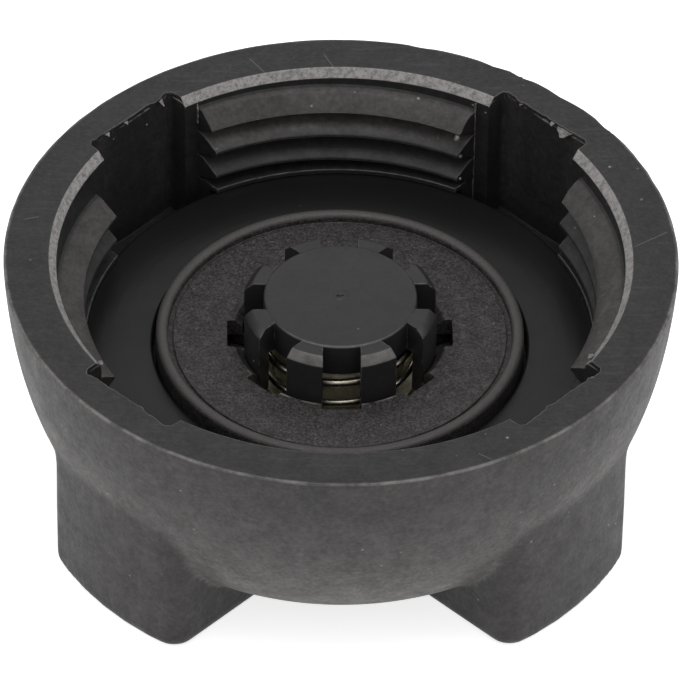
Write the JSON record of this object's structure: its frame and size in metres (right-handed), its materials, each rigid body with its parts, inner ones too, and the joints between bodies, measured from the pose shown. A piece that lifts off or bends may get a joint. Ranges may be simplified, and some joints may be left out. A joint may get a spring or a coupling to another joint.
{
  "type": "coolant reservoir cap",
  "caption": "Round screw cap with a cross-shaped grip, a split internal thread, a neck gasket and a caged pressure and vacuum valve.",
  "frame": {"origin": "centre of the cross grip's resting plane, with the cap lying upside down", "axes": "+Z along the thread's axis, out of the threaded mouth; the grip's arms and the gaps in the thread lie at 45 degrees to X and Y"},
  "size_m": [0.065, 0.065, 0.028],
  "materials": {
    "cap_plastic": "fine satin texture, glass-filled nylon, light scratches",
    "insert_plastic": "matt, as moulded",
    "gasket_rubber": "matt black rubber with a soft sheen",
    "valve_rubber": "matt black rubber",
    "spring_steel": "drawn wire, slightly dull",
    "plate_brass": "deep-drawn sheet, dull",
    "plate_steel": "pressed sheet"
  },
  "bodies": {
    "cap": {"outer_cap": "cap_plastic"},
    "insert": {"insert_plate": "insert_plastic", "neck_gasket": "gasket_rubber", "valve_body": "insert_plastic", "valve_cage": "insert_plastic", "spring_retainer": "plate_steel", "vacuum_spring": "spring_steel", "pressure_spring": "spring_steel"},
    "pressure_valve": {"pressure_plate": "plate_steel", "pressure_seal": "valve_rubber"},
    "vacuum_valve": {"vacuum_plate": "plate_brass", "vacuum_seal": "valve_rubber"}
  },
  "joints": [
    {"name": "insert_spin", "type": "hinge", "parent": "cap", "child": "insert", "pos_m": [0, 0, 0.0128], "axis": [0, 0, 1], "continuous": true},
    {"name": "pressure_lift", "type": "slide", "parent": "insert", "child": "pressure_valve", "axis": [0, 0, -1], "range_m": [0, 0.002], "stiffness_N_per_m": 3000, "springref_m": -0.009, "deforming": ["pressure_spring", "vacuum_spring"]},
    {"name": "vacuum_lift", "type": "slide", "parent": "pressure_valve", "child": "vacuum_valve", "axis": [0, 0, 1], "range_m": [0, 0.0012], "stiffness_N_per_m": 500, "springref_m": -0.003, "deforming": ["vacuum_spring"]}
  ]
}
